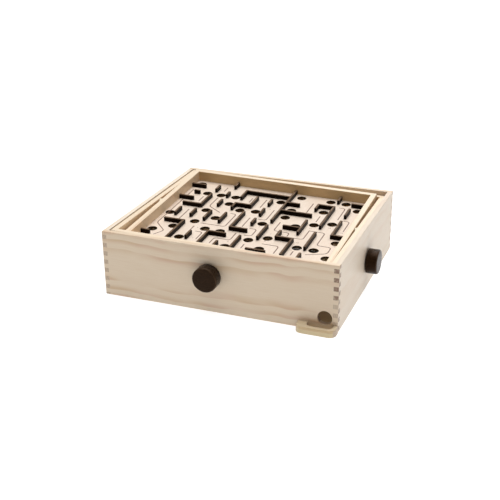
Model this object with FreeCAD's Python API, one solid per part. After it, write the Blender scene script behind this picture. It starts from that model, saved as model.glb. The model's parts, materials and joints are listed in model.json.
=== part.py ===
import FreeCAD, Part
import math
import os

# Tilt maze game: a box with two nested tilting frames, a maze board full of ball
# holes, and two knobs whose shafts tilt the frames by cords.
# Millimetres, +Z up, +X to the player's right, +Y away from the player.
# The origin is the centre of the box's underside.

os.makedirs("parts", exist_ok=True)
V = FreeCAD.Vector

# ---- box ----
BOX_W, BOX_D, BOX_H = 330.0, 287.0, 93.0
WALL = 7.0
FINGER = 6.1            # height of one corner finger
TOP_FINGER = 4.5        # the topmost finger is planed a little shorter
BOX_EDGE_R = 1.0        # rounding of the box's outside edges
RIM_EDGE_R = 0.7        # rounding of the rim's inside edges
PANEL_T = 3.0           # base panel, flush with the underside in a rebate
REBATE = 3.0
FIT_GAP = 0.2           # play round a loose panel
NAIL_R, NAIL_L, NAIL_HEAD_R, NAIL_HEAD_T = 0.6, 13.0, 1.3, 0.8

# ---- tilting frames ----
PIVOT_Z = 83.5          # both tilt axes cross here when the game is level
OUTER_W, OUTER_D, OUTER_RAIL = 312.0, 269.0, 7.5
OUTER_TOP, OUTER_BOTTOM = 89.6, 63.0
INNER_W, INNER_D, INNER_RAIL = 291.0, 247.5, 8.0
INNER_TOP, INNER_BOTTOM = 89.1, 68.5
RAIL_EDGE_R = 0.8
OUTER_TILT = 1.1        # degrees about +Y as the game stands, right side down
INNER_TILT = 3.1        # degrees about the inner axis, back up

# ---- maze ----
FIELD_W = INNER_W - 2 * INNER_RAIL
FIELD_D = INNER_D - 2 * INNER_RAIL
BOARD_TOP, BOARD_T = 73.95, 3.2
GROOVE = 3.0            # depth of the board's groove in the inner rails
HOLE_R = 7.0
STRIP_T, STRIP_H = 3.5, 6.2
COLUMN = 23.4           # pitch of the maze's columns
STRIP_EDGE_R = 0.4

# ---- turning parts ----
PIN_R, PIN_DEPTH, PIN_END_GAP = 2.0, 5.0, 0.3
WASHER_R, WASHER_GAP = 5.0, 0.3     # the gap is its play beside the frame that turns
RUN_GAP = 0.05          # radial play of whatever turns
PRESS_GAP = 0.01        # radial play drawn round whatever is pressed in
SHAFT_R = 3.0
FRONT_SHAFT_X, FRONT_SHAFT_Z = -9.4, 52.2
SIDE_SHAFT_Y, SIDE_SHAFT_Z = -1.8, 41.0
SHAFT_END_GAP = 0.5
KNOB_R, KNOB_L, KNOB_GAP, KNOB_BORE = 17.2, 16.3, 1.0, 12.0
KNOB_FACE_EDGE_R, KNOB_BACK_EDGE_R = 1.6, 0.8
BUSH_R, FLANGE_R, FLANGE_T = 5.0, 7.0, 1.5
BUSH_BLIND = 5.0        # depth of the blind bush seats
CLIP_R, CLIP_T, CLIP_GAP = 5.5, 0.8, 0.3

# ---- cords ----
CORD_R = 0.5
CORD_PITCH = 0.9        # the turns lie a little flattened against each other
RUN_IN = 0.4            # how far each straight run starts inside the turns
CORD_LOOP_R, KNOT_R = 1.8, 1.1
HOOK_GAP = 0.05         # left between two rings that hang in each other
EYE_R, EYE_WIRE_R, EYE_SHANK, EYE_DROP = 2.5, 0.8, 7.0, 4.0
EYE_HOOK = EYE_DROP + EYE_R     # how far below its rail an eye is pulled
OUTER_CORD_Y, INNER_CORD_X = 14.0, 4.0
SPRING_L, SPRING_R, SPRING_WIRE_R, SPRING_PITCH = 14.0, 2.0, 0.35, 0.9

# ---- ball run ----
EXIT_X, EXIT_Z, EXIT_R = 147.6, 18.9, 9.75
RAMP_LOW_Z, RAMP_T, RAMP_SLOPE = 9.3, 3.0, 0.03
BATTEN = 8.0
TRAY_LEFT, TRAY_OUT, TRAY_H, TRAY_CORNER_R, TRAY_EDGE_R = 112.0, 15.1, 10.0, 9.0, 2.2
POCKET_LEFT, POCKET_RIGHT, POCKET_OUT, POCKET_FLOOR = 125.5, 160.0, 11.0, 4.2
POCKET_CORNER_R, POCKET_BOTTOM_R = 7.0, 2.5

# Strips that run front to back: column line, near end, far end. Columns count from the centre.
# None stands for the rail, front or back.
STRIPS_Y = [
    (-5, -17.2, 4.2), (-4, 79.7, 96.0), (-4, 20.6, 62.5), (-4, -15.2, 5.2),
    (-4, -98.0, -36.0), (-3, 99.7, None), (-3, 65.2, 77.9), (-3, 30.6, 48.5),
    (-3, -21.2, 7.0), (-3, -83.0, -64.8), (-2, 65.2, 92.0), (-2, 26.6, 44.5),
    (-2, -21.5, 7.0), (-2, -104.0, -56.4), (-1, 41.0, 75.2), (-1, -37.5, 18.8),
    (-1, -101.5, -82.0), (0, 56.0, 72.5), (0, 18.8, 38.8), (0, -14.3, 2.5),
    (0, -98.0, -56.6), (1, 3.4, None), (1, -53.5, -12.1), (2, -41.0, -23.0),
    (3, 61.5, 79.2), (3, -20.8, 21.6), (3, -92.0, -41.0), (4, 98.8, None),
    (4, 7.9, 79.2), (4, -62.0, -12.1), (4, -102.0, -79.3), (5, 52.5, 77.9),
    (5, -16.3, 34.2),
]
# Strips that run left to right: near edge, left end, right end. None stands for the rail.
# An end given as a column line butts against that column's strip.
STRIPS_X = [
    (88.5, None, -114.4), (65.2, -123.5, -114.4), (41.5, None, -114.4),
    (20.6, -122.5, "-4"), (88.5, "-2", "1"), (41.0, "-2", "-1"),
    (68.3, "1", 43.8), (39.2, "1", 71.5), (75.7, "3", "4"), (93.9, 114.7, None),
    (-8.5, 44.2, "3"), (-44.5, 45.3, "3"), (-16.3, "5", None), (-39.9, -123.5, "-4"),
    (-37.5, "-1", 2.0), (-59.9, "-2", -20.7), (-85.0, None, -124.4), (-92.0, 20.4, 48.4),
    (-103.5, 82.0, "4"),
]
# Ball holes: x, y of each centre.
HOLES = [
    (-127.0, 103.0), (36.0, 103.0), (81.5, 103.0), (104.8, 103.0), (127.0, 84.0),
    (11.7, 78.0), (-104.6, 72.3), (-82.2, 72.3), (-58.5, 72.3), (81.6, 64.3),
    (35.6, 55.5), (-58.5, 46.5), (-12.0, 34.0), (-35.3, 30.6), (35.2, 29.4),
    (104.9, 29.4), (81.5, 18.8), (-82.2, 14.8), (58.0, 6.4), (11.6, -1.5),
    (-58.5, -6.0), (-128.6, -8.8), (-82.2, -25.7), (127.0, -27.2), (-58.5, -43.5),
    (34.9, -43.0), (-35.3, -44.2), (-104.9, -50.0), (11.6, -56.6), (81.5, -57.0),
    (104.9, -57.0), (-128.4, -67.5), (127.0, -74.0), (34.9, -77.0), (-81.9, -79.0),
    (-11.7, -85.0), (-58.5, -101.0), (58.5, -103.0), (105.3, -101.0), (-104.9, -104.0),
]


# ---- helpers ----

def block(x0, x1, y0, y1, z0, z1):
    return Part.makeBox(x1 - x0, y1 - y0, z1 - z0, V(x0, y0, z0))


def rod(radius, start, end):
    along = V(*end) - V(*start)
    return Part.makeCylinder(radius, along.Length, V(*start), along)


def fuse(shapes):
    whole = shapes[0]
    if len(shapes) > 1:
        whole = whole.multiFuse(shapes[1:])
    return whole.removeSplitter()


def turned(start, along, profile):
    """A body of revolution: profile is (radius, distance) pairs round an axis from start."""
    axis = V(*along)
    points = [V(r, 0, t) for r, t in profile]
    face = Part.Face(Part.makePolygon(points + points[:1]))
    solid = face.revolve(V(0, 0, 0), V(0, 0, 1), 360)
    solid.Placement = FreeCAD.Placement(V(*start), FreeCAD.Rotation(V(0, 0, 1), axis))
    return solid


def rounded(shape, radius, picks):
    edges = [e for e in shape.Edges if picks(e)]
    return shape.makeFillet(radius, edges)


def ends(edge):
    return [v.Point for v in edge.Vertexes]


def lies_at_height(edge, height):
    return all(abs(p.z - height) < 1e-6 for p in ends(edge))


def outer_placed(shape):
    """Tilts a shape that was drawn level, as the outer frame stands."""
    return shape.rotate(V(0, 0, PIVOT_Z), V(0, 1, 0), OUTER_TILT)


def inner_placed(shape):
    """Tilts a shape that was drawn level, as the maze stands in the outer frame."""
    return outer_placed(shape.rotate(V(0, 0, PIVOT_Z), V(1, 0, 0), INNER_TILT))


def placed_point(place, x, y, z):
    return place(Part.Vertex(x, y, z)).Point


def save(name, *solids):
    """Writes one node: each solid is a separate piece of it."""
    pieces = [piece for solid in solids for piece in solid.Solids]
    shape = pieces[0] if len(pieces) == 1 else Part.Compound(pieces)
    if not shape.isValid():
        print("NOT VALID", name)
    shape.exportStep("parts/%s.step" % name)
    box = shape.BoundBox
    print("%-22s solids %2d  volume %9.1f  z %6.1f to %6.1f" % (
        name, len(pieces), shape.Volume, box.ZMin, box.ZMax))


# ---- box ----

def finger_heights(first):
    """The heights that every second finger takes, counted down from the rim."""
    tops = [BOX_H, BOX_H - TOP_FINGER]
    while tops[-1] - FINGER > 0:
        tops.append(tops[-1] - FINGER)
    tops.append(0.0)
    pairs = list(zip(tops[1:], tops[:-1]))
    return pairs[first::2]


def rounded_shell():
    """The whole box's walls in one, with its edges rounded; each wall is cut out of it."""
    w, d = BOX_W / 2, BOX_D / 2
    outside = block(-w, w, -d, d, 0, BOX_H)
    outside = outside.makeFillet(BOX_EDGE_R, outside.Edges)
    shell = outside.cut(block(-w + WALL, w - WALL, -d + WALL, d - WALL, -1, BOX_H + 1))

    def is_inner_rim(edge):
        inside = all(abs(p.x) < w - WALL + 0.01 and abs(p.y) < d - WALL + 0.01 for p in ends(edge))
        return inside and lies_at_height(edge, BOX_H)

    shell = rounded(shell, RIM_EDGE_R, is_inner_rim)
    panel_seat = block(-w + WALL - REBATE - FIT_GAP, w - WALL + REBATE + FIT_GAP,
                       -d + WALL - REBATE - FIT_GAP, d - WALL + REBATE + FIT_GAP, -1, PANEL_T)
    return shell.cut(panel_seat)


def end_wall(side):
    """Front wall, side -1, or back wall, side +1, over the box's full width."""
    w, d = BOX_W / 2, BOX_D / 2
    y0, y1 = sorted((side * d, side * (d - WALL)))
    pieces = [block(-w + WALL, w - WALL, y0, y1, 0, BOX_H)]
    for z0, z1 in finger_heights(0):
        pieces.append(block(-w, w, y0, y1, z0, z1))
    return fuse(pieces).common(rounded_shell())


def side_wall(side):
    """Left wall, side -1, or right wall, side +1, between the front and back walls' fingers."""
    w, d = BOX_W / 2, BOX_D / 2
    x0, x1 = sorted((side * w, side * (w - WALL)))
    pieces = [block(x0, x1, -d + WALL, d - WALL, 0, BOX_H)]
    for z0, z1 in finger_heights(1):
        pieces.append(block(x0, x1, -d, d, z0, z1))
    return fuse(pieces).common(rounded_shell())


def shaft_seat(near, inward, blind):
    """The hole for a bush in a wall: right through, or blind from the inside."""
    inside = V(*near) + V(*inward) * (WALL + 1)
    start = V(*near) + V(*inward) * (WALL - BUSH_BLIND) if blind else V(*near) - V(*inward)
    return rod(BUSH_R + PRESS_GAP, tuple(start), tuple(inside))


def pin_seat(side):
    """The blind hole for an outer pivot pin in the front wall, side -1, or the back wall."""
    inner_face = BOX_D / 2 - WALL
    start, end = (0, side * (inner_face + PIN_DEPTH), PIVOT_Z), (0, side * (inner_face - 1), PIVOT_Z)
    return rod(PIN_R + PRESS_GAP, start, end)


def nail_places():
    """Where the base panel is nailed up into the walls."""
    x = BOX_W / 2 - WALL + REBATE / 2
    y = BOX_D / 2 - WALL + REBATE / 2
    along_x = [(BOX_W * k / 4, side * y) for k in (-1, 0, 1) for side in (-1, 1)]
    along_y = [(side * x, BOX_D * k / 3) for k in (-1, 0, 1) for side in (-1, 1)]
    return along_x + along_y


def nail(x, y, play=0.0):
    head = rod(NAIL_HEAD_R + play, (x, y, 0), (x, y, NAIL_HEAD_T + play))
    shank = rod(NAIL_R + play, (x, y, NAIL_HEAD_T / 2), (x, y, NAIL_L + play))
    return head.fuse(shank)


def make_box():
    w, d = BOX_W / 2, BOX_D / 2
    nail_holes = [nail(x, y, PRESS_GAP) for x, y in nail_places()]
    front = end_wall(-1)
    front = front.cut(shaft_seat((FRONT_SHAFT_X, -d, FRONT_SHAFT_Z), (0, 1, 0), False))
    front = front.cut(rod(EXIT_R, (EXIT_X, -d - 1, EXIT_Z), (EXIT_X, -d + WALL + 1, EXIT_Z)))
    front = front.cut(pin_seat(-1))
    back = end_wall(1)
    back = back.cut(shaft_seat((FRONT_SHAFT_X, d, FRONT_SHAFT_Z), (0, -1, 0), True))
    back = back.cut(pin_seat(1))
    right = side_wall(1).cut(shaft_seat((w, SIDE_SHAFT_Y, SIDE_SHAFT_Z), (-1, 0, 0), False))
    left = side_wall(-1).cut(shaft_seat((-w, SIDE_SHAFT_Y, SIDE_SHAFT_Z), (1, 0, 0), True))
    for name, wall in (("front", front), ("back", back), ("left", left), ("right", right)):
        save(name + "_wall", wall.cut(nail_holes))
    x, y = w - WALL + REBATE, d - WALL + REBATE
    panel = block(-x, x, -y, y, 0, PANEL_T)
    save("base_panel", panel.cut(nail_holes))
    save("base_nails", *[nail(x, y) for x, y in nail_places()])


# ---- ball run ----

def ramp_height(x, y):
    """Height of the ramp's upper face: lowest in the corner behind the exit hole."""
    w, d = BOX_W / 2 - WALL, BOX_D / 2 - WALL
    return RAMP_LOW_Z + RAMP_SLOPE * (w - x) + RAMP_SLOPE * (y + d)


def ramp_slab(reach_x, reach_y, down, thickness):
    """A slab parallel to the ramp, its upper or lower face moved down from the ramp's."""
    corners = [(-reach_x, -reach_y), (reach_x, -reach_y), (reach_x, reach_y), (-reach_x, reach_y)]
    points = [V(x, y, ramp_height(x, y) - down) for x, y in corners]
    face = Part.Face(Part.makePolygon(points + points[:1]))
    return face.extrude(V(0, 0, thickness))


def make_ramp():
    w, d = BOX_W / 2 - WALL, BOX_D / 2 - WALL
    save("ball_ramp", ramp_slab(w - FIT_GAP, d - FIT_GAP, 0, -RAMP_T))
    above = ramp_slab(w + 10, d + 10, RAMP_T, 100)
    battens = {
        "ramp_batten_left": block(-w, -w + BATTEN, -d, d - BATTEN, PANEL_T, 60),
        "ramp_batten_right": block(w - BATTEN, w, -d, d - BATTEN, PANEL_T, 60),
        "ramp_batten_back": block(-w, w, d - BATTEN, d, PANEL_T, 60),
    }
    for name, batten in battens.items():
        save(name, batten.cut(above))


def make_tray():
    right, back = BOX_W / 2, -BOX_D / 2
    front = back - TRAY_OUT

    def is_front_corner(edge):
        return all(abs(p.y - front) < 1e-6 for p in ends(edge)) and edge.Length < TRAY_H + 1

    def is_top_rim(edge):
        return lies_at_height(edge, TRAY_H) and any(p.y < back - 0.01 for p in ends(edge))

    tray = block(TRAY_LEFT, right, front, back, 0, TRAY_H)
    tray = rounded(tray, TRAY_CORNER_R, is_front_corner)
    tray = rounded(tray, TRAY_EDGE_R, is_top_rim)
    pocket_front = back - POCKET_OUT
    pocket = block(POCKET_LEFT, POCKET_RIGHT, pocket_front, back + 10, POCKET_FLOOR, TRAY_H + 5)

    def is_pocket_corner(edge):
        upright = edge.Length > TRAY_H - POCKET_FLOOR and abs(ends(edge)[0].z - ends(edge)[1].z) > 1
        return upright and all(abs(p.y - pocket_front) < 1e-6 for p in ends(edge))

    pocket = rounded(pocket, POCKET_CORNER_R, is_pocket_corner)
    pocket = rounded(pocket, POCKET_BOTTOM_R, lambda e: lies_at_height(e, POCKET_FLOOR))
    save("ball_tray", tray.cut(pocket))


# ---- frames ----

def frame_ring(width, depth, rail, bottom, top):
    """A level frame in one piece with its long edges rounded; the rails are cut out of it."""
    w, d = width / 2, depth / 2
    ring = block(-w, w, -d, d, bottom, top).cut(
        block(-w + rail, w - rail, -d + rail, d - rail, bottom - 1, top + 1))
    return rounded(ring, RAIL_EDGE_R, lambda e: lies_at_height(e, top) or lies_at_height(e, bottom)
                   or (abs(e.Length - (top - bottom)) < 1e-6 and abs(ends(e)[0].x) > w - 1))


def frame_rails(width, depth, rail, bottom, top):
    """Front and back rails over the full width, and the side rails between them."""
    w, d = width / 2, depth / 2
    ring = frame_ring(width, depth, rail, bottom, top)
    return {
        "front": ring.common(block(-w, w, -d, -d + rail, bottom, top)),
        "back": ring.common(block(-w, w, d - rail, d, bottom, top)),
        "left": ring.common(block(-w, -w + rail, -d + rail, d - rail, bottom, top)),
        "right": ring.common(block(w - rail, w, -d + rail, d - rail, bottom, top)),
    }


def eye_hole(x, y, bottom):
    return rod(EYE_WIRE_R + PRESS_GAP, (x, y, bottom - 1), (x, y, bottom + EYE_SHANK + PRESS_GAP))


def screw_eye(x, y, bottom, axis):
    """A screw eye under a rail; the ring's hole runs along axis."""
    centre = V(x, y, bottom - EYE_DROP)
    ring = Part.makeTorus(EYE_R, EYE_WIRE_R, centre, V(*axis))
    shank = rod(EYE_WIRE_R, (x, y, bottom - EYE_DROP + EYE_R), (x, y, bottom + EYE_SHANK))
    return ring.fuse(shank).removeSplitter()


def outer_eyes():
    """The outer frame's screw eyes: left, then right."""
    x = (OUTER_W - OUTER_RAIL) / 2
    return [(-x, OUTER_CORD_Y - CORD_PITCH), (x, OUTER_CORD_Y + CORD_PITCH)]


def inner_eyes():
    """The maze's screw eyes: front, then back. They are set a little aside, so that the cord
    runs square to its shaft as the game stands."""
    tilt, lean = math.radians(INNER_TILT), math.radians(OUTER_TILT)
    y = (INNER_D - INNER_RAIL) / 2
    below_pivot = PIVOT_Z - INNER_BOTTOM + EYE_HOOK
    eyes = []
    for side in (-1, 1):
        depth = below_pivot * math.cos(tilt) - side * y * math.sin(tilt)
        across = INNER_CORD_X + side * CORD_PITCH + depth * math.sin(lean)
        eyes.append((across / math.cos(lean), side * y))
    return eyes


def make_outer_frame():
    w, d = OUTER_W / 2, OUTER_D / 2
    rails = frame_rails(OUTER_W, OUTER_D, OUTER_RAIL, OUTER_BOTTOM, OUTER_TOP)
    for name, side in (("front", -1), ("back", 1)):
        start, end = (0, side * (d + 1), PIVOT_Z), (0, side * (d - OUTER_RAIL - 1), PIVOT_Z)
        rails[name] = rails[name].cut(rod(PIN_R + RUN_GAP, start, end))
    for name, (x, y) in zip(("left", "right"), outer_eyes()):
        side = math.copysign(1, x)
        start, end = (side * (w + 1), 0, PIVOT_Z), (side * (w - OUTER_RAIL - 1), 0, PIVOT_Z)
        bore = rod(PIN_R + PRESS_GAP, start, end)
        rails[name] = rails[name].cut(bore).cut(eye_hole(x, y, OUTER_BOTTOM))
    for name, rail in rails.items():
        save("outer_rail_" + name, outer_placed(rail))
    eyes = [screw_eye(x, y, OUTER_BOTTOM, (1, 0, 0)) for x, y in outer_eyes()]
    save("outer_cord_eyes", *[outer_placed(eye) for eye in eyes])


def washer(face, inward, room):
    """A spacing washer on a pivot pin: it fills its room but for the play."""
    bore, thickness = PIN_R + PRESS_GAP, room - WASHER_GAP
    return turned(face, inward, [(bore, 0), (WASHER_R, 0), (WASHER_R, thickness), (bore, thickness)])


def make_pivots():
    """The steel pins both frames turn on, two in the box walls and two in the outer frame,
    with a washer on each that keeps the frames apart."""
    d = BOX_D / 2 - WALL
    reach, room = OUTER_D / 2 - OUTER_RAIL, d - OUTER_D / 2
    save("outer_pivot_pins", *[
        rod(PIN_R, (0, side * (d + PIN_DEPTH), PIVOT_Z), (0, side * reach, PIVOT_Z)) for side in (-1, 1)])
    save("outer_pivot_washers", *[
        washer((0, side * d, PIVOT_Z), (0, -side, 0), room) for side in (-1, 1)])
    w = OUTER_W / 2
    inside = w - OUTER_RAIL
    end, room = INNER_W / 2 - PIN_DEPTH, inside - INNER_W / 2
    save("inner_pivot_pins", *[
        outer_placed(rod(PIN_R, (side * w, 0, PIVOT_Z), (side * end, 0, PIVOT_Z))) for side in (-1, 1)])
    save("inner_pivot_washers", *[
        outer_placed(washer((side * inside, 0, PIVOT_Z), (-side, 0, 0), room)) for side in (-1, 1)])


# ---- maze ----

def make_maze_frame():
    w = INNER_W / 2
    rails = frame_rails(INNER_W, INNER_D, INNER_RAIL, INNER_BOTTOM, INNER_TOP)
    x, y = FIELD_W / 2 + GROOVE, FIELD_D / 2 + GROOVE
    groove = block(-x, x, -y, y, BOARD_TOP - BOARD_T, BOARD_TOP)
    for name, side in (("left", -1), ("right", 1)):
        bore_end = w - PIN_DEPTH - PIN_END_GAP
        bore = rod(PIN_R + RUN_GAP, (side * (w + 1), 0, PIVOT_Z), (side * bore_end, 0, PIVOT_Z))
        rails[name] = rails[name].cut(bore)
    for name, (ex, ey) in zip(("front", "back"), inner_eyes()):
        rails[name] = rails[name].cut(eye_hole(ex, ey, INNER_BOTTOM))
    for name, rail in rails.items():
        save("inner_rail_" + name, inner_placed(rail.cut(groove)))
    eyes = [screw_eye(ex, ey, INNER_BOTTOM, (0, 1, 0)) for ex, ey in inner_eyes()]
    save("inner_cord_eyes", *[inner_placed(eye) for eye in eyes])
    board = block(-x + FIT_GAP, x - FIT_GAP, -y + FIT_GAP, y - FIT_GAP, BOARD_TOP - BOARD_T, BOARD_TOP)
    holes = [rod(HOLE_R, (hx, hy, BOARD_TOP - BOARD_T - 1), (hx, hy, BOARD_TOP + 1)) for hx, hy in HOLES]
    save("maze_board", inner_placed(board.cut(holes)))


def strip(x0, x1, y0, y1):
    """One maze strip standing on the board, with its top edges eased."""
    top = BOARD_TOP + STRIP_H
    shape = block(x0, x1, y0, y1, BOARD_TOP, top)
    return rounded(shape, STRIP_EDGE_R, lambda e: lies_at_height(e, top))


def strip_end(end, side):
    """A strip's end along X: a plain place, the rail, or the face of a column's strip."""
    if end is None:
        return side * FIELD_W / 2
    if isinstance(end, str):
        return int(end) * COLUMN - side * STRIP_T / 2
    return end


def make_strips():
    long_ones = []
    for column, near, far in STRIPS_Y:
        x = column * COLUMN
        y1 = FIELD_D / 2 if far is None else far
        long_ones.append(strip(x - STRIP_T / 2, x + STRIP_T / 2, near, y1))
    cross_ones = []
    for near, left, right in STRIPS_X:
        x0, x1 = strip_end(left, -1), strip_end(right, 1)
        cross_ones.append(strip(x0, x1, near, near + STRIP_T))
    save("maze_strips_long", *[inner_placed(s) for s in long_ones])
    save("maze_strips_cross", *[inner_placed(s) for s in cross_ones])


# ---- knobs and shafts ----

def make_knob(name, wall_face, outward, far_seat):
    """A knob, its shaft and its clips. wall_face is where the shaft leaves the wall."""
    face, out = V(*wall_face), V(*outward)
    base = face + out * KNOB_GAP
    knob = Part.makeCylinder(KNOB_R, KNOB_L, base, out)

    def is_outer_rim(edge):
        centre = edge.CenterOfMass
        return abs((centre - base).dot(out) - KNOB_L) < 1e-3

    def is_inner_rim(edge):
        return abs((edge.CenterOfMass - base).dot(out)) < 1e-3

    knob = rounded(knob, KNOB_FACE_EDGE_R, is_outer_rim)
    knob = rounded(knob, KNOB_BACK_EDGE_R, is_inner_rim)
    knob = knob.cut(Part.makeCylinder(SHAFT_R + PRESS_GAP, KNOB_BORE + PRESS_GAP, base, out))
    save(name + "_knob", knob)
    end = V(*far_seat)
    start = base + out * KNOB_BORE
    save(name + "_shaft", rod(SHAFT_R, tuple(start), tuple(end)))
    near_clip = face - out * (WALL + FLANGE_T + CLIP_GAP)
    far_clip = end + out * (BUSH_BLIND - SHAFT_END_GAP + FLANGE_T + CLIP_GAP)
    ring = [(SHAFT_R + PRESS_GAP, 0), (CLIP_R, 0), (CLIP_R, CLIP_T), (SHAFT_R + PRESS_GAP, CLIP_T)]
    clips = [turned(near_clip, -out, ring), turned(far_clip, out, ring)]
    save(name + "_shaft_clips", *clips)


def bush(seat_end, inward, depth):
    """A flanged bush: its sleeve fills the wall's hole, and its flange lies inside the wall."""
    bore = SHAFT_R + RUN_GAP
    profile = [(bore, 0), (BUSH_R, 0), (BUSH_R, depth), (FLANGE_R, depth),
               (FLANGE_R, depth + FLANGE_T), (bore, depth + FLANGE_T)]
    return turned(seat_end, inward, profile)


def make_turning_parts():
    w, d = BOX_W / 2, BOX_D / 2
    shallow = WALL - BUSH_BLIND
    save("front_bush", bush((FRONT_SHAFT_X, -d, FRONT_SHAFT_Z), (0, 1, 0), WALL))
    save("back_bush", bush((FRONT_SHAFT_X, d - shallow, FRONT_SHAFT_Z), (0, -1, 0), BUSH_BLIND))
    save("right_bush", bush((w, SIDE_SHAFT_Y, SIDE_SHAFT_Z), (-1, 0, 0), WALL))
    save("left_bush", bush((-w + shallow, SIDE_SHAFT_Y, SIDE_SHAFT_Z), (1, 0, 0), BUSH_BLIND))
    make_knob("front", (FRONT_SHAFT_X, -d, FRONT_SHAFT_Z), (0, -1, 0),
              (FRONT_SHAFT_X, d - shallow - SHAFT_END_GAP, FRONT_SHAFT_Z))
    make_knob("side", (w, SIDE_SHAFT_Y, SIDE_SHAFT_Z), (1, 0, 0),
              (-w + shallow + SHAFT_END_GAP, SIDE_SHAFT_Y, SIDE_SHAFT_Z))


# ---- cords ----

def leaves_shaft_at(centre, target, side):
    """Where a cord from target meets the underside of its shaft, in the shaft's own plane.

    centre and target are (across, up) pairs, and side is +1 for a target at larger across."""
    reach = SHAFT_R + CORD_R + PRESS_GAP
    across, up = target[0] - centre[0], target[1] - centre[1]
    bearing = math.atan2(up, across) - side * math.acos(reach / math.hypot(across, up))
    return centre[0] + reach * math.cos(bearing), centre[1] + reach * math.sin(bearing)


def spring_between(start, end, loop_axis):
    """An extension spring with a closed loop at each end. start and end are on its loops'
    wire, where it pulls, and loop_axis is the axis of both loops."""
    along = end - start
    unit = V(along).normalize()
    coiled = along.Length - 4 * SPRING_R
    helix = Part.makeHelix(SPRING_PITCH, coiled, SPRING_R)
    first = helix.Edges[0].Vertexes[0].Point
    section = Part.Wire(Part.makeCircle(SPRING_WIRE_R, first, V(0, 1, 0)))
    coil = Part.Wire(helix.Edges).makePipeShell([section], True, False)
    loops = [Part.makeTorus(SPRING_R, SPRING_WIRE_R, V(0, 0, z), V(0, 1, 0))
             for z in (-SPRING_R, coiled + SPRING_R)]
    bridges = [rod(SPRING_WIRE_R, (-SPRING_R, 0, z), (SPRING_R, 0, z)) for z in (0, coiled)]
    spring = coil.multiFuse(loops + bridges)
    turn = FreeCAD.Rotation(loop_axis.cross(unit), loop_axis, unit, "ZYX")
    spring.Placement = FreeCAD.Placement(start + unit * (2 * SPRING_R), turn)
    return spring


def tied_loop(hook, hook_wire_r, unit, loop_axis):
    """A loop knotted in a cord's end. It hangs in a ring whose wire passes hook, and pulls
    back against unit. Gives the loop with its knot, and the knot's place."""
    centre = hook - unit * (CORD_LOOP_R - CORD_R - hook_wire_r - HOOK_GAP)
    knot = centre - unit * CORD_LOOP_R
    loop = Part.makeTorus(CORD_LOOP_R, CORD_R, centre, loop_axis)
    return [loop, Part.makeSphere(KNOT_R, knot, unit)], knot


def winding(centre, axis):
    """One turn of cord round a level shaft, with its seam on top, clear of both runs."""
    turn = Part.makeTorus(SHAFT_R + CORD_R + PRESS_GAP, CORD_R)
    up = V(0, 0, 1)
    turn.Placement = FreeCAD.Placement(centre, FreeCAD.Rotation(up, axis.cross(up), axis, "ZXY"))
    return turn


def cord_and_spring(name, centre, axis, eyes, pull_side):
    """The cord of one shaft: from the first eye, three turns under and round the shaft,
    and on to a spring that hangs in the second eye. centre is the shaft's middle at the cord,
    and the eyes are given by the lowest point of their wire."""
    axis, centre = V(*axis), V(*centre)
    across = V(0, 0, 1).cross(axis) * pull_side
    winding_r = SHAFT_R + CORD_R + PRESS_GAP
    cord = [winding(centre + axis * (k * CORD_PITCH), axis) for k in (-1, 0, 1)]
    for eye, side in zip(eyes, (-1, 1)):
        flat = (eye - centre).dot(across), eye.z - centre.z
        a, b = leaves_shaft_at((0.0, 0.0), flat, side)
        start = centre + across * a + V(0, 0, b) + axis * (side * CORD_PITCH)
        unit = (eye - start).normalize()
        if side > 0:
            far = eye + unit * (EYE_WIRE_R + HOOK_GAP + SPRING_WIRE_R)
            near = far - unit * SPRING_L
            save(name + "_spring", spring_between(near, far, axis))
            loop, stop = tied_loop(near, SPRING_WIRE_R, unit, axis.cross(unit))
        else:
            loop, stop = tied_loop(eye, EYE_WIRE_R, unit, axis)
        cord += loop + [rod(CORD_R, tuple(start - unit * RUN_IN), tuple(stop))]
        lever = abs((V(0, 0, PIVOT_Z) - start).cross(unit).dot(axis))
        print("%s run %+d: %.1f mm long, %.2f mm from the tilt axis, ratio of knob to tilt %.2f" % (
            name, side, (stop - start).Length, lever, lever / winding_r))
    save(name, fuse(cord))


def make_cords():
    outer = [placed_point(outer_placed, x, y, OUTER_BOTTOM - EYE_HOOK) for x, y in outer_eyes()]
    cord_and_spring("outer_cord", (FRONT_SHAFT_X, OUTER_CORD_Y, FRONT_SHAFT_Z), (0, 1, 0), outer, -1)
    inner = [placed_point(inner_placed, x, y, INNER_BOTTOM - EYE_HOOK) for x, y in inner_eyes()]
    cord_and_spring("inner_cord", (INNER_CORD_X, SIDE_SHAFT_Y, SIDE_SHAFT_Z), (1, 0, 0), inner, 1)


make_box()
make_ramp()
make_tray()
make_outer_frame()
make_pivots()
make_maze_frame()
make_strips()
make_turning_parts()
make_cords()
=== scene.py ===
import json
import math

import bmesh
import bpy
from mathutils import Matrix, Vector


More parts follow.
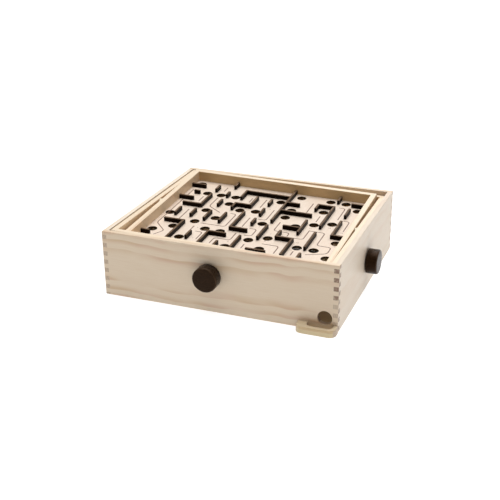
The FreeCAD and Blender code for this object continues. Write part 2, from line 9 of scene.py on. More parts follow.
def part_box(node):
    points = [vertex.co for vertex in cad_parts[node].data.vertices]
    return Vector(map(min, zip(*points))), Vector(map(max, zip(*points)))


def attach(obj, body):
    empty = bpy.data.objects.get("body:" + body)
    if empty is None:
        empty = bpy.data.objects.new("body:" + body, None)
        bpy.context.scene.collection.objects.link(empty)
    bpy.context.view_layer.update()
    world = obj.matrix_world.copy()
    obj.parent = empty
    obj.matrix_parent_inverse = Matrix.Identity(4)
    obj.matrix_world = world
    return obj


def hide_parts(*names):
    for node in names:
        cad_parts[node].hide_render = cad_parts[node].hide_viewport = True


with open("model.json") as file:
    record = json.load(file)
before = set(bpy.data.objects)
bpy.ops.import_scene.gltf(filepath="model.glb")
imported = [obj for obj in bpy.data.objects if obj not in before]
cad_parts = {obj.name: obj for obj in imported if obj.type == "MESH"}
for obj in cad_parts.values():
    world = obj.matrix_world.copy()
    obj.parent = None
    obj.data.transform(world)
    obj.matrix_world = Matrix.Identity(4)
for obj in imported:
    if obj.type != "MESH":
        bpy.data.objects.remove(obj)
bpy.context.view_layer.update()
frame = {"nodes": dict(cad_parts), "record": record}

MM = 0.001
NODES = frame["nodes"]
JOINTS = {joint["name"]: joint for joint in frame["record"]["behaviour"]["joints"]}


# ---- where the maze lies ----

def level_turn(joint):
    """How far a tilting frame stands from level at rest: its range is the same both ways from level."""
    low, high = JOINTS[joint]["range_deg"]
    return math.radians(-(low + high) / 2)


PIVOT = Vector(JOINTS["outer_tilt"]["pos_m"])
MAZE_PLACE = (Matrix.Translation(PIVOT)
              @ Matrix.Rotation(level_turn("outer_tilt"), 4, "Y")
              @ Matrix.Rotation(level_turn("inner_tilt"), 4, "X")
              @ Matrix.Translation(-PIVOT))


def level_box(node):
    """The lowest and highest corners of one of the maze's nodes, with the maze level."""
    back = MAZE_PLACE.inverted()
    points = [back @ v.co for v in NODES[node].data.vertices]
    low = Vector([min(p[k] for p in points) for k in range(3)])
    high = Vector([max(p[k] for p in points) for k in range(3)])
    return low, high


# ---- nodes of a material ----

AXES = "XYZ"
UNIT = {"X": (1, 0, 0), "Y": (0, 1, 0), "Z": (0, 0, 1)}


def paint(red, green, blue):
    """A colour given as it looks on a screen, 0 to 255, in the linear values that shaders use."""
    def linear(value):
        value /= 255
        return value / 12.92 if value <= 0.04045 else ((value + 0.055) / 1.055) ** 2.4
    return linear(red), linear(green), linear(blue), 1.0


class Finish:
    """A material with short ways to add its nodes. A value is a number, or a socket that gives
    one at each place."""

    def __init__(self, name):
        self.material = bpy.data.materials.new(name)
        self.material.use_nodes = True
        self.tree = self.material.node_tree
        self.tree.nodes.clear()
        self.shader = self.add("ShaderNodeBsdfPrincipled")
        self.feed(self.add("ShaderNodeOutputMaterial").inputs["Surface"], self.shader.outputs["BSDF"])

    def add(self, kind, **settings):
        node = self.tree.nodes.new(kind)
        for key, value in settings.items():
            setattr(node, key, value)
        return node

    def feed(self, socket, value):
        if isinstance(value, bpy.types.NodeSocket):
            self.tree.links.new(value, socket)
        else:
            socket.default_value = value

    # sums

    def math(self, operation, *values, clamp=False):
        node = self.add("ShaderNodeMath", operation=operation, use_clamp=clamp)
        for socket, value in zip(node.inputs, values):
            self.feed(socket, value)
        return node.outputs[0]

    def plus(self, a, b):
        return self.math("ADD", a, b)

    def minus(self, a, b, clamp=False):
        return self.math("SUBTRACT", a, b, clamp=clamp)

    def times(self, a, b, plus=0.0, clamp=False):
        return self.math("MULTIPLY_ADD", a, b, plus, clamp=clamp)

    def sine(self, value):
        return self.math("SINE", value)

    def length(self, a, b):
        """How far a place lies from an axis, from its distances along the two others."""
        return self.math("SQRT", self.plus(self.times(a, a), self.times(b, b)))

    def between(self, value, low, high, out_low=0.0, out_high=1.0):
        """value from low to high, eased into out_low to out_high."""
        node = self.add("ShaderNodeMapRange", interpolation_type="SMOOTHSTEP")
        for socket, number in zip(node.inputs, (value, low, high, out_low, out_high)):
            self.feed(socket, number)
        return node.outputs[0]

    # where a place is, and how its face lies

    def place(self):
        """The object's own coordinates, in millimetres, as three sockets."""
        split = self.add("ShaderNodeSeparateXYZ")
        self.feed(split.inputs[0], self.add("ShaderNodeTexCoord").outputs["Object"])
        return [self.math("DIVIDE", socket, MM) for socket in split.outputs]

    def dot(self, a, b):
        node = self.add("ShaderNodeVectorMath", operation="DOT_PRODUCT")
        self.feed(node.inputs[0], a)
        self.feed(node.inputs[1], b)
        return node.outputs["Value"]

    def looks_along(self, axis):
        """1 where the face looks up an axis, 0 where it lies along it and -1 where it looks down it."""
        return self.dot(self.add("ShaderNodeTexCoord").outputs["Normal"], UNIT[axis])

    def cuts_across(self, axis):
        """1 where the face cuts square across an axis, either way, and 0 where it lies along it."""
        return self.math("ABSOLUTE", self.looks_along(axis))

    def edges(self, reach_mm):
        """1 on sharp edges, 0 on flats, from how far a rounded normal leaves the true one."""
        node = self.add("ShaderNodeBevel", samples=4)
        self.feed(node.inputs["Radius"], reach_mm * MM)
        cosine = self.dot(node.outputs[0], self.add("ShaderNodeNewGeometry").outputs["Normal"])
        return self.between(cosine, 0.995, 0.80)

    # patterns

    def noise(self, place, scale, detail=2.0, roughness=0.5):
        """Smooth noise at a place of three values. A value may come as a tuple with the factor
        that it is stretched by, and with what is then added to it."""
        node = self.add("ShaderNodeTexNoise")
        vector = self.add("ShaderNodeCombineXYZ")
        for socket, value in zip(vector.inputs, place):
            self.feed(socket, self.times(*value) if isinstance(value, tuple) else value)
        self.feed(node.inputs["Vector"], vector.outputs[0])
        self.feed(node.inputs["Scale"], scale)
        self.feed(node.inputs["Detail"], detail)
        self.feed(node.inputs["Roughness"], roughness)
        return node.outputs["Fac"]

    def mix(self, factor, a, b, blend="MIX"):
        """Colour a where factor is 0 and b where it is 1."""
        node = self.add("ShaderNodeMix", data_type="RGBA", blend_type=blend)
        self.feed(node.inputs[0], factor)
        self.feed(node.inputs[6], a)
        self.feed(node.inputs[7], b)
        return node.outputs[2]

    # the shader's own settings

    def set(self, name, value):
        self.feed(self.shader.inputs[name], value)

    def colour(self, value):
        self.set("Base Color", value)

    def rough(self, value):
        self.set("Roughness", value)

    def bump(self, height, distance_mm, strength):
        node = self.add("ShaderNodeBump")
        self.feed(node.inputs["Strength"], strength)
        self.feed(node.inputs["Distance"], distance_mm * MM)
        self.feed(node.inputs["Height"], height)
        self.set("Normal", node.outputs[0])


# ---- pine ----

PALE = paint(225, 206, 181)
TAN = paint(208, 178, 142)
ROSE = paint(208, 172, 144)
END_GRAIN = paint(212, 191, 166)
END_RING = paint(142, 114, 94)
HANDLED = paint(218, 196, 168)
WHITE = paint(255, 255, 255)

HEART_DEPTH = 42.0      # millimetres from a board's middle to the tree's middle
WANDER = 40.0           # millimetres that the rings drift across a board along its length
LACQUER, LACQUER_ROUGHNESS = 0.12, 0.3


def cross_axis(along, through):
    """The letter of the axis that is left, across the grain in the board's face."""
    return AXES.replace(along, "").replace(through, "")


def wood_place(finish, along, through):
    """Coordinates along the grain, across it and through the board, whose axes are letters."""
    sockets = finish.place()
    return [sockets[AXES.index(axis)] for axis in (along, cross_axis(along, through), through)]


def growth_rings(finish, place, seed, heart, ring):
    """The distance from the tree's middle in millimetres, how much late wood lies there, and the
    slow ripple of the grain. Late wood darkens slowly outward and ends sharply, ring by ring."""
    run, wide, deep = place
    drift = finish.noise(((run, 0.0062), seed, seed * 1.7), 1.0, 3.0)
    ripple = finish.noise(((run, 0.016), (wide, 0.03), seed + 4.0), 1.0)
    a = finish.minus(finish.times(drift, WANDER, wide), heart[0] + WANDER / 2)
    b = finish.minus(finish.times(ripple, 5.0, deep), heart[1])
    radius = finish.length(a, b)
    phase = finish.math("FRACT", finish.times(ripple, 0.8, finish.math("DIVIDE", radius, ring)))
    late = finish.times(finish.between(phase, 0.30, 0.86), finish.between(phase, 1.0, 0.90))
    fades = finish.noise(((run, 0.009), (wide, 0.035), seed + 9.0), 1.0)
    return radius, finish.times(late, finish.between(fades, 0.38, 0.62, 0.08, 1.0)), ripple


def pine_side(finish, place, seed, band, fibre, pale, rose, strength):
    """Colour of a face along the grain: the rings' late wood over pale wood, fibres and flecks."""
    run, wide, deep = place
    blush = finish.noise(((run, 0.02), (wide, 0.05), seed + 17.0), 1.0)
    fleck = finish.between(finish.noise(((run, 0.22), wide, deep), 1.9), 0.68, 0.78)
    warm = finish.mix(finish.between(blush, 0.4, 0.6), TAN, rose)
    side = finish.mix(finish.times(band, strength), pale, warm)
    side = finish.mix(finish.between(fibre, 0.3, 0.75, 0.0, 0.28), side, TAN)
    return finish.mix(finish.times(fleck, 0.25), side, rose)


def pine_end(finish, place, seed, radius, pores, soak):
    """Colour of a cut end: arcs of rings and pores, with blotches where the lacquer soaked in."""
    _, wide, deep = place
    start, full, darkening = soak
    arcs = finish.times(finish.sine(finish.times(radius, 2.1)), 0.5, 0.5)
    patch = finish.noise(((wide, 0.11), seed, 2.0), 1.0, 1.0)
    level = finish.times(patch, 12.0, finish.minus(wide, 6.0))
    blotch = finish.noise(((wide, 0.3), (deep, 0.45), seed), 1.0)
    drawn_in = finish.times(finish.between(level, start, full, 0.0, darkening),
                            finish.between(blotch, 0.38, 0.58, 0.25, 1.0))
    soaked = finish.times(arcs, 0.2, drawn_in)
    return finish.mix(finish.times(pores, 0.3, soaked, clamp=True), END_GRAIN, END_RING)


def pine(name, along, through, seed, heart, ring=11.0, pale=PALE, rose=ROSE, strength=0.75,
         roughness=0.44, flank=WHITE, soak=(0.0, 1.0, 0.15)):
    """Lacquered pale softwood. heart is where the tree's middle lay, across the grain and
    through the board, so the growth rings show as long flames on a face and arcs on an end, and
    ring is their width in millimetres. strength is how dark the late wood is, and flank is
    painted shade multiplied onto the faces that don't look up, darker and warmer than the upward
    faces. soak says how the cut ends took the lacquer: the two places across
    the board between which they darken, and by how much."""
    finish = Finish(name)
    place = run, wide, deep = wood_place(finish, along, through)
    radius, band, ripple = growth_rings(finish, place, seed, heart, ring)
    fibre = finish.noise(((run, 0.03), wide, deep), 1.6, 5.0, 0.65)
    pores = finish.noise((wide, deep, (run, 0.2)), 1.1, 3.0)
    side = pine_side(finish, place, seed, band, fibre, pale, rose, strength)
    # Painted shade: faces that don't look up are multiplied by a darker, warmer tint.
    upward = finish.between(finish.looks_along("Z"), 0.6, 0.9)
    side = finish.mix(1.0, side, finish.mix(upward, flank, WHITE), "MULTIPLY")
    cut = finish.between(finish.cuts_across(along), 0.6, 0.8)
    whole = finish.mix(cut, side, pine_end(finish, place, seed, radius, pores, soak))
    wear_and_painted_light = finish.times(finish.edges(1.0), finish.between(ripple, 0.3, 0.7, 0.05, 0.35))
    finish.colour(finish.mix(wear_and_painted_light, whole, HANDLED))
    sheen = finish.between(fibre, 0.2, 0.8, roughness - 0.08, roughness + 0.10)
    finish.rough(finish.times(cut, 0.16, sheen))
    finish.bump(finish.times(pores, 0.5, finish.times(band, 0.4, fibre)), 0.06, 0.6)
    finish.set("Coat Weight", LACQUER)
    finish.set("Coat Roughness", LACQUER_ROUGHNESS)
    return finish.material


# ---- stained wood ----

STRIP_DARK, STRIP_LIGHT = paint(14, 7, 3), paint(32, 19, 10)
# Colours of the strips' tops: painted light, lighter than the stain on their sides.
LIT_TOP_DARK, LIT_TOP_LIGHT = paint(88, 68, 50), paint(172, 147, 124)
STRIP_ROUGHNESS, STRIP_SPECULAR = 0.34, 0.05
# The third knob colour is a painted highlight for the knob's rounded rim.
KNOB_DARK, KNOB_LIGHT, KNOB_RIM_HIGHLIGHT = paint(25, 14, 6), paint(44, 29, 16), paint(62, 47, 35)
KNOB_ROUGHNESS, KNOB_SPECULAR = 0.26, 0.2
LATHE_MARKS = 9.0       # radians of the lathe's fine rings in a millimetre
SHEEN = paint(214, 172, 140)


def dark_strips(name, along, seed):
    """Stained strips with fine grain lines, with a painted highlight lightening their tops but not their
    edges.
    """
    finish = Finish(name)
    run, wide, deep = wood_place(finish, along, "Z")
    lines = finish.noise(((run, 0.05, seed), wide, deep), 1.3, 5.0, 0.6)
    cloud = finish.noise(((run, 0.04, seed), (wide, 0.06), deep), 1.0)
    grain = finish.times(finish.between(lines, 0.42, 0.72), finish.between(cloud, 0.25, 0.75, 0.35, 1.0))
    top = finish.between(finish.looks_along("Z"), 0.7, 0.95)
    # Painted light: the upward faces take the lighter top colours, and their edges stay dark as painted
    # shade.
    wear_and_painted_light = finish.minus(top, finish.edges(0.9), clamp=True)
    finish.colour(finish.mix(wear_and_painted_light, finish.mix(grain, STRIP_DARK, STRIP_LIGHT),
                             finish.mix(grain, LIT_TOP_DARK, LIT_TOP_LIGHT)))
    finish.rough(finish.between(lines, 0.2, 0.8, STRIP_ROUGHNESS - 0.06, STRIP_ROUGHNESS + 0.12))
    finish.bump(lines, 0.05, 0.5)
    finish.set("Specular IOR Level", STRIP_SPECULAR)
    finish.set("Specular Tint", SHEEN)
    return finish.material


def turned_wood(name, centre, axis):
    """Stained wood with the fine rings that a lathe leaves round an axis, with a painted highlight
    lightening its rounded rim."""
    finish = Finish(name)
    offsets = [finish.minus(socket, value / MM) for socket, value in zip(finish.place(), centre)]
    run = offsets.pop(AXES.index(axis))
    a, b = offsets
    wobble = finish.noise((a, b, run), 0.12, 3.0)
    lines = finish.noise(((a, 0.08), b, (run, 0.5)), 1.1, 4.0, 0.6)
    marks = finish.sine(finish.times(finish.plus(finish.length(a, b), run), LATHE_MARKS))
    facing = finish.cuts_across(axis)
    # The rounded rim between face and side, where a painted highlight lightens the stain.
    rim = finish.times(finish.between(facing, 0.15, 0.5), finish.between(facing, 0.995, 0.93))
    wear_and_painted_light = finish.times(rim, finish.between(wobble, 0.35, 0.65, 0.45, 1.0))
    stain = finish.mix(finish.between(lines, 0.4, 0.75), KNOB_DARK, KNOB_LIGHT)
    finish.colour(finish.mix(wear_and_painted_light, stain, KNOB_RIM_HIGHLIGHT))
    sheen = finish.between(wobble, 0.3, 0.7, KNOB_ROUGHNESS - 0.05, KNOB_ROUGHNESS + 0.08)
    finish.rough(finish.times(lines, 0.06, sheen))
    finish.bump(finish.times(marks, 0.25, lines), 0.04, 0.5)
    finish.set("Specular IOR Level", KNOB_SPECULAR)
    finish.set("Specular Tint", SHEEN)
    return finish.material


# ---- other materials ----

PLY = 1.07              # millimetres of one of the board's plies


def board_ply():
    """Pale close-grained plywood face, with its plies showing in the holes."""
    finish = Finish("board_ply")
    run, wide, deep = wood_place(finish, "Y", "Z")
    fibre = finish.noise(((run, 0.035), wide, deep), 1.5, 5.0, 0.65)
    cloud = finish.noise(((run, 0.010), (wide, 0.04), 3.0), 1.0, 3.0)
    dash = finish.between(finish.noise(((run, 0.25), wide, 5.0), 1.6), 0.66, 0.76)
    face = finish.mix(finish.between(cloud, 0.3, 0.7, 0.0, 0.5), paint(230, 214, 198), paint(221, 201, 182))
    face = finish.mix(finish.between(fibre, 0.35, 0.75, 0.0, 0.5), face, paint(212, 186, 160))
    face = finish.mix(finish.times(dash, 0.3), face, paint(204, 174, 150))
    plies = finish.sine(finish.times(deep, math.tau / PLY))
    core = finish.mix(finish.times(plies, 0.5, 0.5), paint(88, 66, 38), paint(64, 46, 24))
    wall = finish.between(finish.cuts_across("Z"), 0.8, 0.5)
    finish.colour(finish.mix(wall, face, core))
    finish.rough(finish.between(fibre, 0.2, 0.8, 0.42, 0.58))
    finish.bump(fibre, 0.04, 0.5)
    return finish.material


def hardboard():
    """Brown pressed fibre board, smooth with loose darker fibres."""
    finish = Finish("hardboard")
    here = finish.place()
    cloud = finish.noise(here, 0.02, 4.0)
    fibre = finish.noise(here, 0.9, 6.0, 0.7)
    base = finish.mix(finish.between(cloud, 0.3, 0.7), paint(134, 98, 66), paint(116, 82, 54))
    finish.colour(finish.mix(finish.between(fibre, 0.5, 0.75, 0.0, 0.6), base, paint(82, 56, 36)))
    finish.rough(finish.between(fibre, 0.2, 0.8, 0.5, 0.7))
    finish.bump(fibre, 0.08, 0.6)
    return finish.material


def steel():
    """Drawn steel, dulled, with fine scratches and a little tarnish."""
    finish = Finish("drawn_steel")
    x, y, z = finish.place()
    scratch = finish.noise((x, (y, 0.2), z), 4.0, 4.0, 0.7)
    tarnish = finish.noise((x, y, z), 0.25, 3.0)
    dull = finish.between(tarnish, 0.4, 0.7, 0.0, 0.6)
    finish.colour(finish.mix(dull, paint(150, 148, 145), paint(98, 92, 86)))
    finish.rough(finish.between(scratch, 0.2, 0.8, 0.34, 0.5))
    finish.bump(scratch, 0.01, 0.4)
    finish.set("Metallic", 1.0)
    return finish.material


def nylon():
    """Milky moulded nylon."""
    finish = Finish("nylon")
    here = finish.place()
    grain = finish.noise(here, 1.8, 4.0)
    cloud = finish.noise(here, 0.15)
    finish.colour(finish.mix(finish.between(cloud, 0.3, 0.7), paint(236, 226, 204), paint(224, 211, 186)))
    finish.rough(finish.between(grain, 0.2, 0.8, 0.4, 0.55))
    finish.bump(grain, 0.02, 0.4)
    finish.set("Subsurface Weight", 0.08)
    return finish.material


STRAND_TURN = 7.0       # radians of the cord's braid in a millimetre


def braided_cord():
    """Braided cord: crossing slanted strands."""
    finish = Finish("braided_cord")
    x, y, z = finish.place()
    across = finish.plus(x, y)
    rising = finish.sine(finish.times(finish.plus(across, z), STRAND_TURN))
    falling = finish.sine(finish.times(finish.minus(across, z), STRAND_TURN))
    strands = finish.times(rising, falling)
    lint = finish.noise((x, y, z), 5.0, 3.0)
    finish.colour(finish.mix(finish.between(strands, -0.6, 0.8), paint(110, 102, 90), paint(198, 190, 172)))
    finish.rough(finish.between(lint, 0.2, 0.8, 0.7, 0.9))
    finish.bump(finish.plus(strands, lint), 0.06, 0.8)
    return finish.material


def print_ink():
    """Thin brown print, broken a little by the wood's grain."""
    finish = Finish("print_ink")
    x, y, z = finish.place()
    grain = finish.noise((x, (y, 0.1), z), 1.2, 4.0, 0.7)
    finish.colour(finish.mix(finish.between(grain, 0.35, 0.75), paint(84, 54, 40), paint(120, 86, 68)))
    finish.rough(finish.between(grain, 0.2, 0.8, 0.45, 0.6))
    finish.bump(grain, 0.01, 0.3)
    return finish.material


# ---- dressing the CAD nodes ----

# Painted shade multiplied onto each rail's faces that don't look up; the back rail's inner face is shaded
# darkest and warmest.
RAIL_SIDE_SHADES = {
    "front": WHITE,
    "back": paint(236, 216, 178),
    "left": paint(255, 246, 234),
    "right": paint(236, 226, 212),
}
STEEL_NODES = (
    "base_nails", "outer_pivot_pins", "inner_pivot_pins", "outer_cord_eyes", "inner_cord_eyes",
    "front_shaft", "side_shaft", "front_shaft_clips", "side_shaft_clips",
    "outer_cord_spring", "inner_cord_spring",
)
NYLON_NODES = (
    "front_bush", "back_bush", "right_bush", "left_bush", "outer_pivot_washers", "inner_pivot_washers",
)
CORD_NODES = ("outer_cord", "inner_cord")


def dress(material, *nodes):
    """Gives CAD nodes their material."""
    for node in nodes:
        mesh = NODES[node].data
        if not mesh.materials:
            mesh.materials.append(material)
        for material_slot in NODES[node].material_slots:
            material_slot.material = material


def dress_pine(node, along, through, seed, **look):
    """Cuts a node's grain from its own tree: its heart lies behind the board's middle."""
    low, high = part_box(node)
    middle = [(a + b) / 2 / MM for a, b in zip(low, high)]
    heart = (middle[AXES.index(cross_axis(along, through))], middle[AXES.index(through)] + HEART_DEPTH)
    dress(pine(node + "_wood", along, through, seed, heart, **look), node)


def dress_box():
    dress_pine("front_wall", "X", "Y", 3.7, ring=7.5, strength=0.9, soak=(0.0, 1.0, 0.6))
    dress_pine("back_wall", "X", "Y", 11.3, soak=(0.0, 1.0, 0.3))
    dress_pine("left_wall", "Y", "X", 5.9, pale=paint(240, 228, 210), strength=0.4)
    dress_pine("right_wall", "Y", "X", 8.2, pale=paint(222, 207, 188), strength=0.3, soak=(40.0, 54.0, 1.9))
    # The tray's faces that don't look up carry a faint painted shade.
    dress_pine("ball_tray", "X", "Z", 2.4, pale=paint(224, 208, 176), rose=TAN, flank=paint(250, 246, 232))
    for number, (side, along) in enumerate((("left", "Y"), ("right", "Y"), ("back", "X"))):
        dress_pine(f"ramp_batten_{side}", along, "Z", 50.0 + 4.7 * number,
                   pale=paint(222, 198, 166), roughness=0.6)
    dress_pine("ball_ramp", "Y", "Z", 61.0, pale=paint(208, 180, 132), strength=0.4, roughness=0.6)
    dress(hardboard(), "base_panel")


def dress_frames():
    for number, ring_name in enumerate(("outer", "inner")):
        for place, (side, flank) in enumerate(RAIL_SIDE_SHADES.items()):
            along, through = ("X", "Y") if side in ("front", "back") else ("Y", "X")
            dress_pine(f"{ring_name}_rail_{side}", along, through, 20.0 + 7.3 * place + 3.1 * number,
                       pale=paint(236, 218, 192), strength=0.5, flank=flank)


def dress_maze():
    dress(board_ply(), "maze_board")
    dress(dark_strips("dark_strips_long", "Y", 1.3), "maze_strips_long")
    dress(dark_strips("dark_strips_cross", "X", 6.1), "maze_strips_cross")


# ---- new pieces ----

def finished_mesh(name, bm, place, material):
    """The mesh that bm holds, moved to its place and given its material. bm is done with."""
    bm.transform(place)
    mesh = bpy.data.meshes.new(name)
    bm.to_mesh(mesh)
    bm.free()
    mesh.materials.append(material)
    return mesh


def add_object(name, data):
    thing = bpy.data.objects.new(name, data)
    bpy.context.collection.objects.link(thing)
    return thing


def add_piece(name, mesh, body):
    piece = add_object(name, mesh)
    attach(piece, body)
    return piece


# ---- the knobs ----

KNOB_BORE_R, KNOB_BORE_DEPTH = 3.01 * MM, 12.0 * MM
KNOB_FACE_R, KNOB_BACK_R, KNOB_DOME = 2.2 * MM, 0.8 * MM, 0.35 * MM
KNOB_SEGMENTS, DOME_STEPS = 112, 8


def arc(centre, radius, first, last, steps):
    """Points (radius from the axis, distance along it) of a profile's round corner."""
    angles = [math.radians(first + (last - first) * k / steps) for k in range(steps + 1)]
    return [(centre[0] + radius * math.cos(a), centre[1] + radius * math.sin(a)) for a in angles]


def knob_profile(radius, length):
    """From the bore's end, round the back and the face to the middle of the dome, where the
    profile meets the axis again."""
    shoulder = length - KNOB_DOME
    profile = [(0, KNOB_BORE_DEPTH), (KNOB_BORE_R, KNOB_BORE_DEPTH), (KNOB_BORE_R, 0)]
    profile += arc((radius - KNOB_BACK_R, KNOB_BACK_R), KNOB_BACK_R, -90, 0, 5)
    profile += arc((radius - KNOB_FACE_R, shoulder - KNOB_FACE_R), KNOB_FACE_R, 0, 84, 9)
    flat_r, flat_at = profile[-1]
    for step in range(1, DOME_STEPS):
        share = step / DOME_STEPS
        profile.append((flat_r * (1 - share), flat_at + (length - flat_at) * math.sin(share * math.pi / 2)))
    return profile + [(0, length)]


def lathe(profile, segments):
    """A solid of revolution about Z, whose profile starts and ends on the axis."""
    bm = bmesh.new()
    angles = [math.tau * k / segments for k in range(segments)]
    rings = []
    for radius, distance in profile:
        if radius == 0:
            rings.append([bm.verts.new((0, 0, distance))] * segments)
        else:
            points = [(radius * math.cos(a), radius * math.sin(a), distance) for a in angles]
            rings.append([bm.verts.new(point) for point in points])
    for lower, upper in zip(rings, rings[1:]):
        for k in range(segments):
            corners = [lower[k], lower[(k + 1) % segments], upper[(k + 1) % segments], upper[k]]
            bm.faces.new([v for n, v in enumerate(corners) if v not in corners[:n]])
    bmesh.ops.recalc_face_normals(bm, faces=bm.faces)
    for face in bm.faces:
        face.smooth = True
    return bm


def make_knob(node, axis, outward, turn_about):
    """A turned knob with a slightly domed face, in the room of its CAD node. It is made pointing
    up, and a quarter turn about another axis points it outward, 1 or -1 along its own."""
    low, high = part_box(node)
    middle = Vector([(a + b) / 2 for a, b in zip(low, high)])
    radius = (high[2] - low[2]) / 2
    k = AXES.index(axis)
    length = high[k] - low[k]
    base = middle.copy()
    base[k] -= outward * length / 2
    place = Matrix.Translation(base) @ Matrix.Rotation(math.radians(90), 4, turn_about)
    mesh = finished_mesh(node + "_turned", lathe(knob_profile(radius, length), KNOB_SEGMENTS), place,
                         turned_wood(node + "_wood", middle, axis))
    knob = add_piece(node + "_turned", mesh, node)
    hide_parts(node)


# ---- the printed path ----

INK_LIFT = 0.03 * MM
INK_WIDTH = 1.4 * MM
TURN_R = 5.0 * MM
TURN_STEPS = 6

# The path's lines on the board, in millimetres from the board's middle, x then y.
PATH_LINES = [
    [(-131, 80), (-131, -47), (-110, -68), (-119, -84)],
    [(-106, 60), (-106, 42)],
    [(-107, 10), (-107, -25)],
    [(-83.5, 103), (-83.5, 88)],
    [(-83.5, 63), (-83.5, 30), (-60, 14)],
    [(-33, 78), (-33, 62)],
    [(-11, 80), (-11, 50)],
    [(-44, 16), (-35, 16), (-35, -28), (-72, -28)],
    [(-12, 12), (-12, -20)],
    [(-12, -42), (-12, -65.5), (-35, -65.5), (-35, -83)],
    [(-76.5, -40), (-76.5, -68)],
    [(-68, -55), (-57, -55), (-57, -78)],
    [(12, 48), (12, 11), (0, 11)],
    [(0, -21.5), (11, -21.5), (11, -44), (0, -44)],
    [(11, -70), (11, -83)],
    [(34, 12), (34, -17), (57.5, -17), (57.5, -28)],
    [(58.5, 90), (58.5, 56)],
    [(81, 50), (81, 30)],
    [(81, 0), (81, -30), (60, -30)],
    [(81, -1), (104, -1), (104, -41), (124.5, -41), (124.5, -60), (98, -72)],
    [(80, -68), (80, -80)],
    [(33, -61), (57.5, -61), (57.5, -83)],
    [(98, 88), (108, 88), (108, 47)],
    [(116, 46), (126, 46), (126, 12)],
]
# Numerals along the path: x, y of each, in the same millimetres.
NUMERAL_PLACES = [
    (-134, -55), (-63, -77), (-70, -44), (-13, -71), (11, -13), (5, 48), (34, -30), (34, -53),
    (76, -67), (77, -43), (80, 6), (105, 16), (127, -38), (125, 6),
]
NUMERAL_SIZE = 4.0 * MM


def board_middle():
    """The middle of the board's upper face, with the maze level."""
    low, high = level_box("maze_board")
    return Vector(((low.x + high.x) / 2, (low.y + high.y) / 2, high.z))


def rounded_route(points, radius):
    """The route with each corner swept by a short curve."""
    route = [points[0]]
    for before, corner, after in zip(points, points[1:], points[2:]):
        reach = min(radius, (before - corner).length / 2, (after - corner).length / 2)
        enter = corner + (before - corner).normalized() * reach
        leave = corner + (after - corner).normalized() * reach
        for step in range(TURN_STEPS + 1):
            t = step / TURN_STEPS
            route.append(enter * (1 - t) ** 2 + corner * (2 * t * (1 - t)) + leave * t ** 2)
    return route + [points[-1]]


def ribbon(bm, route, width, thickness):
    """A thin closed band along a level route, its upper face on the route."""
    down = Vector((0, 0, -thickness))
    sections = []
    for k, point in enumerate(route):
        ahead = (route[min(k + 1, len(route) - 1)] - route[max(k - 1, 0)]).normalized()
        side = Vector((-ahead.y, ahead.x, 0)) * width / 2
        offsets = (side, -side, down - side, down + side)
        sections.append([bm.verts.new(point + offset) for offset in offsets])
    for a, b in zip(sections, sections[1:]):
        for k in range(4):
            bm.faces.new((a[k], a[(k + 1) % 4], b[(k + 1) % 4], b[k]))
    bm.faces.new(sections[0])
    bm.faces.new(reversed(sections[-1]))


def make_path(ink):
    """The line that the ball is to follow."""
    middle = board_middle()
    bm = bmesh.new()
    for line in PATH_LINES:
        points = [middle + Vector((x * MM, y * MM, INK_LIFT)) for x, y in line]
        ribbon(bm, rounded_route(points, TURN_R), INK_WIDTH, 2 * INK_LIFT)
    bmesh.ops.recalc_face_normals(bm, faces=bm.faces)
    add_piece("printed_path", finished_mesh("printed_path", bm, MAZE_PLACE, ink), "maze")


def numeral_mesh(number):
    """A thin numeral about the origin."""
    curve = bpy.data.curves.new("numeral", "FONT")
    curve.body = str(number)
    curve.size = NUMERAL_SIZE
    curve.align_x = "CENTER"
    curve.extrude = INK_LIFT
    curve.resolution_u = 3
    shape = bpy.data.objects.new("numeral", curve)
    mesh = bpy.data.meshes.new_from_object(shape)
    bpy.data.objects.remove(shape)
    bpy.data.curves.remove(curve)
    return mesh


def make_numerals(ink):
    """Small numerals beside the path, counted along it."""
    middle = board_middle()
    bm = bmesh.new()
    for number, (x, y) in enumerate(NUMERAL_PLACES, 1):
        mesh = numeral_mesh(number)
        mesh.transform(Matrix.Translation(middle + Vector((x * MM, y * MM, 0))))
        bm.from_mesh(mesh)
        bpy.data.meshes.remove(mesh)
    bmesh.ops.remove_doubles(bm, verts=bm.verts, dist=1e-7)
    add_piece("path_numerals", finished_mesh("path_numerals", bm, MAZE_PLACE, ink), "maze")


# ---- camera, light and floor ----

CAMERA_PLACE = Vector((0.4274, -1.1161, 0.5515))
CAMERA_AZIMUTH, CAMERA_ELEVATION = math.radians(21.31), math.radians(23.52)
CAMERA_ROLL = math.radians(-0.54)
CAMERA_LENS = 65.3
SUN_FROM, SUN_SPREAD, SUN_STRENGTH = (-0.02, 0.22, 1.0), 60, 3.1
SOFTBOX_PLACE, SOFTBOX_TARGET = (0.1, 1.9, 0.85), (0, 0, 0.05)
SOFTBOX_SIZE, SOFTBOX_RADIANCE = 1.7, 1.4
SKY_STRENGTH = 0.22
FLOOR_REACH, FLOOR_DROP, FLOOR_GLOW = 6.0, 0.2 * MM, 0.85


def make_camera():
    right = Vector((math.cos(CAMERA_AZIMUTH), math.sin(CAMERA_AZIMUTH), 0))
    back = Vector((math.sin(CAMERA_AZIMUTH) * math.cos(CAMERA_ELEVATION),
                   -math.cos(CAMERA_AZIMUTH) * math.cos(CAMERA_ELEVATION), math.sin(CAMERA_ELEVATION)))
    up = back.cross(right)
    c, s = math.cos(CAMERA_ROLL), math.sin(CAMERA_ROLL)
    turn = Matrix((c * right + s * up, c * up - s * right, back)).transposed()
    data = bpy.data.cameras.new("camera")
    data.lens = CAMERA_LENS
    camera = add_object("camera", data)
    camera.matrix_world = Matrix.Translation(CAMERA_PLACE) @ turn.to_4x4()
    bpy.context.scene.camera = camera


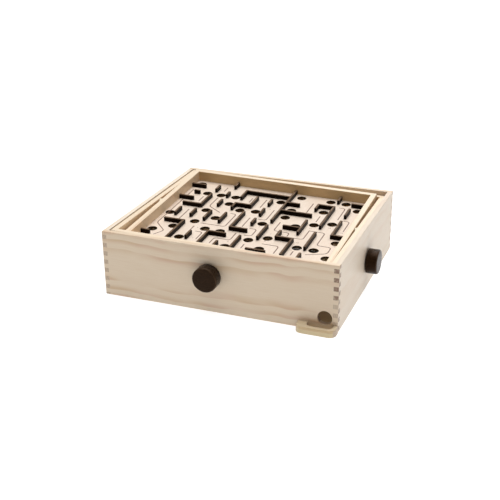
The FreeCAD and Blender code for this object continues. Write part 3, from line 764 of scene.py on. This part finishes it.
def add_light(data, place, target):
    """A light that looks from its place to its target, and that the camera doesn't see."""
    light = add_object(data.name, data)
    light.location = place
    light.rotation_euler = (Vector(place) - Vector(target)).to_track_quat("Z", "Y").to_euler()
    light.visible_camera = False


def make_sun():
    """Soft light from above, from far away and from a wide piece of the sky."""
    data = bpy.data.lights.new("overhead", "SUN")
    data.angle = math.radians(SUN_SPREAD)
    data.energy = SUN_STRENGTH
    add_light(data, SUN_FROM, (0, 0, 0))


def make_softbox():
    """A round diffuser behind the object, whose energy comes from how bright its face is."""
    data = bpy.data.lights.new("rear", "AREA")
    data.shape = "DISK"
    data.size = SOFTBOX_SIZE
    data.energy = SOFTBOX_RADIANCE * math.pi * math.pi * (SOFTBOX_SIZE / 2) ** 2
    add_light(data, SOFTBOX_PLACE, SOFTBOX_TARGET)


def make_sky():
    world = bpy.data.worlds.new("studio")
    world.use_nodes = True
    background = world.node_tree.nodes["Background"]
    background.inputs["Color"].default_value = (1.0, 1.0, 1.0, 1.0)
    background.inputs["Strength"].default_value = SKY_STRENGTH
    bpy.context.scene.world = world
    bpy.context.scene.view_settings.view_transform = "Standard"


def make_floor():
    """A white floor lit from below, as a light table is, so that shadows on it stay faint."""
    finish = Finish("pale_floor")
    cloud = finish.noise(finish.place(), 0.004)
    finish.colour(finish.mix(cloud, paint(158, 158, 158), paint(164, 164, 164)))
    finish.set("Emission Color", WHITE)
    finish.set("Emission Strength", FLOOR_GLOW)
    finish.rough(0.8)
    bm = bmesh.new()
    bmesh.ops.create_grid(bm, x_segments=1, y_segments=1, size=FLOOR_REACH)
    floor = add_object("floor", finished_mesh("floor", bm, Matrix.Identity(4), finish.material))
    floor.location.z = -FLOOR_DROP


make_camera()
make_sun()
make_softbox()
make_sky()
make_floor()

dress_box()
dress_frames()
dress_maze()
dress(steel(), *STEEL_NODES)
dress(nylon(), *NYLON_NODES)
dress(braided_cord(), *CORD_NODES)

make_knob("front_knob", "Y", -1, turn_about="X")
make_knob("side_knob", "X", 1, turn_about="Y")
ink = print_ink()
make_path(ink)
make_numerals(ink)
